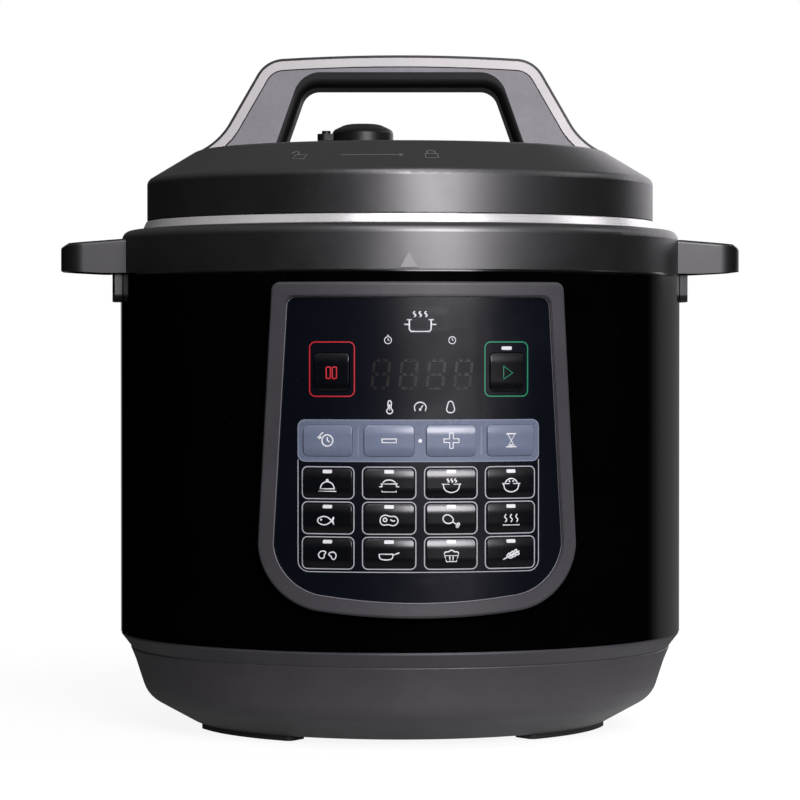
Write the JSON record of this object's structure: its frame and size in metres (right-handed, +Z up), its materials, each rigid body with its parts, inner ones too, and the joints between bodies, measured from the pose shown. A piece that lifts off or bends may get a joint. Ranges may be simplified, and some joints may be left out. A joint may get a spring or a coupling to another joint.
{
  "type": "electric pressure cooker",
  "caption": "Cylindrical electric pressure cooker with an arch-handled twist-lock lid, side handles, a front panel of press keys and a removable inner pot.",
  "frame": {"origin": "on the axis of the pot, in the plane that the feet stand on", "axes": "+Z up, +X towards the handle on the right as seen from the front, front panel towards -Y"},
  "size_m": [0.3352, 0.3082, 0.3302],
  "materials": {
    "charcoal_plastic": "fine matte grain",
    "black_foot": "matte",
    "screw_steel": "zinc plated",
    "sleeve_gloss": "high gloss black",
    "bright_steel": "satin",
    "pot_steel": "brushed inside",
    "galvanised": "satin",
    "cast_aluminium": "as cast",
    "heater_sheath": "heat dulled",
    "board_green": "solder mask",
    "inlet_plastic": "fine matte",
    "pin_brass": "plated",
    "frame_grey": "fine matte",
    "overlay_navy": "glossy film",
    "key_film": "embossed glossy film",
    "strip_film": "embossed glossy film",
    "display_dark": "smoked",
    "lid_plastic": "fine matte grain",
    "handle_grey": "satin",
    "trim_silver": "satin silver",
    "cap_black": "satin black",
    "grip_black": "soft matte",
    "knob_black": "satin",
    "silicone": "translucent matte",
    "float_red": "satin",
    "cup_clear": "clear plastic",
    "switch_cream": "matte"
  },
  "bodies": {
    "base": {"base_housing": "charcoal_plastic", "bottom_cover": "charcoal_plastic", "foot_front_left": "black_foot", "foot_front_right": "black_foot", "foot_rear_left": "black_foot", "foot_rear_right": "black_foot", "housing_screws": "screw_steel", "sleeve": "sleeve_gloss", "top_ring": "charcoal_plastic", "side_handle_left": "charcoal_plastic", "side_handle_right": "charcoal_plastic", "rim_band": "bright_steel", "outer_pot": "galvanised", "heating_plate": "cast_aluminium", "heater_tube": "heater_sheath", "pressure_switch": "switch_cream", "sensor_spring": "screw_steel", "power_board": "board_green", "power_inlet": "inlet_plastic", "inlet_pins": "pin_brass", "panel_frame": "frame_grey", "panel_overlay": "overlay_navy", "display_module": "display_dark", "control_board": "board_green", "cup_bracket": "charcoal_plastic"},
    "inner_pot": {"inner_pot": "pot_steel"},
    "sealing_ring": {"sealing_ring": "silicone"},
    "lid": {"lid_cover": "lid_plastic", "lid_plate": "bright_steel", "ring_rack": "bright_steel", "lid_handle": "handle_grey", "handle_trim": "trim_silver", "handle_cap": "cap_black", "handle_grip": "grip_black", "lid_screws": "screw_steel", "steam_pipe": "bright_steel", "shield_cap": "bright_steel"},
    "steam_valve": {"steam_valve_knob": "knob_black"},
    "float_valve": {"float_pin": "float_red", "float_seal": "silicone"},
    "temp_sensor": {"sensor_cap": "cast_aluminium"},
    "cup": {"condensation_cup": "cup_clear"},
    "key_cancel": {"key_cancel": "key_film"},
    "key_start": {"key_start": "key_film"},
    "key_delay": {"key_delay": "strip_film"},
    "key_minus": {"key_minus": "strip_film"},
    "key_plus": {"key_plus": "strip_film"},
    "key_time": {"key_time": "strip_film"},
    "key_warm": {"key_warm": "key_film"},
    "key_slow": {"key_slow": "key_film"},
    "key_soup": {"key_soup": "key_film"},
    "key_rice": {"key_rice": "key_film"},
    "key_fish": {"key_fish": "key_film"},
    "key_meat": {"key_meat": "key_film"},
    "key_bird": {"key_bird": "key_film"},
    "key_steam": {"key_steam": "key_film"},
    "key_beans": {"key_beans": "key_film"},
    "key_fry": {"key_fry": "key_film"},
    "key_cake": {"key_cake": "key_film"},
    "key_grain": {"key_grain": "key_film"}
  },
  "joints": [
    {"name": "pot_lift", "type": "slide", "parent": "base", "child": "inner_pot", "axis": [0, 0, 1], "range_m": [0, 0.18]},
    {"name": "lid_lift", "type": "slide", "parent": "inner_pot", "child": "sealing_ring", "axis": [0, 0, 1], "range_m": [0, 0.16]},
    {"name": "lid_turn", "type": "hinge", "parent": "sealing_ring", "child": "lid", "pos_m": [0, 0, 0.2524], "axis": [0, 0, 1], "range_deg": [-30, 0]},
    {"name": "steam_valve_turn", "type": "hinge", "parent": "lid", "child": "steam_valve", "pos_m": [-0.01606, 0.04613, 0.2934], "axis": [0, 0, 1], "range_deg": [-60, 0]},
    {"name": "float_rise", "type": "slide", "parent": "lid", "child": "float_valve", "axis": [0, 0, 1], "range_m": [0, 0.005]},
    {"name": "sensor_press", "type": "slide", "parent": "base", "child": "temp_sensor", "axis": [0, 0, 1], "range_m": [-0.003, 0], "stiffness_N_per_m": 800, "springref_m": 0.001, "deforming": ["sensor_spring"]},
    {"name": "cup_pull", "type": "slide", "parent": "base", "child": "cup", "axis": [0, 1, 0], "range_m": [0, 0.03]},
    {"name": "key_cancel_press", "type": "slide", "parent": "base", "child": "key_cancel", "axis": [0.2807, 0.9598, 0], "range_m": [0, 0.0006], "stiffness_N_per_m": 1500, "springref_m": -0.0004},
    {"name": "key_start_press", "type": "slide", "parent": "base", "child": "key_start", "axis": [-0.2807, 0.9598, 0], "range_m": [0, 0.0006], "stiffness_N_per_m": 1500, "springref_m": -0.0004},
    {"name": "key_delay_press", "type": "slide", "parent": "base", "child": "key_delay", "axis": [0.2933, 0.956, 0], "range_m": [0, 0.0006], "stiffness_N_per_m": 1500, "springref_m": -0.0004},
    {"name": "key_minus_press", "type": "slide", "parent": "base", "child": "key_minus", "axis": [0.0991, 0.9951, 0], "range_m": [0, 0.0006], "stiffness_N_per_m": 1500, "springref_m": -0.0004},
    {"name": "key_plus_press", "type": "slide", "parent": "base", "child": "key_plus", "axis": [-0.0991, 0.9951, 0], "range_m": [0, 0.0006], "stiffness_N_per_m": 1500, "springref_m": -0.0004},
    {"name": "key_time_press", "type": "slide", "parent": "base", "child": "key_time", "axis": [-0.2933, 0.956, 0], "range_m": [0, 0.0006], "stiffness_N_per_m": 1500, "springref_m": -0.0004},
    {"name": "key_warm_press", "type": "slide", "parent": "base", "child": "key_warm", "axis": [0.2933, 0.956, 0], "range_m": [0, 0.0006], "stiffness_N_per_m": 1500, "springref_m": -0.0004},
    {"name": "key_slow_press", "type": "slide", "parent": "base", "child": "key_slow", "axis": [0.0991, 0.9951, 0], "range_m": [0, 0.0006], "stiffness_N_per_m": 1500, "springref_m": -0.0004},
    {"name": "key_soup_press", "type": "slide", "parent": "base", "child": "key_soup", "axis": [-0.0991, 0.9951, 0], "range_m": [0, 0.0006], "stiffness_N_per_m": 1500, "springref_m": -0.0004},
    {"name": "key_rice_press", "type": "slide", "parent": "base", "child": "key_rice", "axis": [-0.2933, 0.956, 0], "range_m": [0, 0.0006], "stiffness_N_per_m": 1500, "springref_m": -0.0004},
    {"name": "key_fish_press", "type": "slide", "parent": "base", "child": "key_fish", "axis": [0.2933, 0.956, 0], "range_m": [0, 0.0006], "stiffness_N_per_m": 1500, "springref_m": -0.0004},
    {"name": "key_meat_press", "type": "slide", "parent": "base", "child": "key_meat", "axis": [0.0991, 0.9951, 0], "range_m": [0, 0.0006], "stiffness_N_per_m": 1500, "springref_m": -0.0004},
    {"name": "key_bird_press", "type": "slide", "parent": "base", "child": "key_bird", "axis": [-0.0991, 0.9951, 0], "range_m": [0, 0.0006], "stiffness_N_per_m": 1500, "springref_m": -0.0004},
    {"name": "key_steam_press", "type": "slide", "parent": "base", "child": "key_steam", "axis": [-0.2933, 0.956, 0], "range_m": [0, 0.0006], "stiffness_N_per_m": 1500, "springref_m": -0.0004},
    {"name": "key_beans_press", "type": "slide", "parent": "base", "child": "key_beans", "axis": [0.2933, 0.956, 0], "range_m": [0, 0.0006], "stiffness_N_per_m": 1500, "springref_m": -0.0004},
    {"name": "key_fry_press", "type": "slide", "parent": "base", "child": "key_fry", "axis": [0.0991, 0.9951, 0], "range_m": [0, 0.0006], "stiffness_N_per_m": 1500, "springref_m": -0.0004},
    {"name": "key_cake_press", "type": "slide", "parent": "base", "child": "key_cake", "axis": [-0.0991, 0.9951, 0], "range_m": [0, 0.0006], "stiffness_N_per_m": 1500, "springref_m": -0.0004},
    {"name": "key_grain_press", "type": "slide", "parent": "base", "child": "key_grain", "axis": [-0.2933, 0.956, 0], "range_m": [0, 0.0006], "stiffness_N_per_m": 1500, "springref_m": -0.0004}
  ]
}
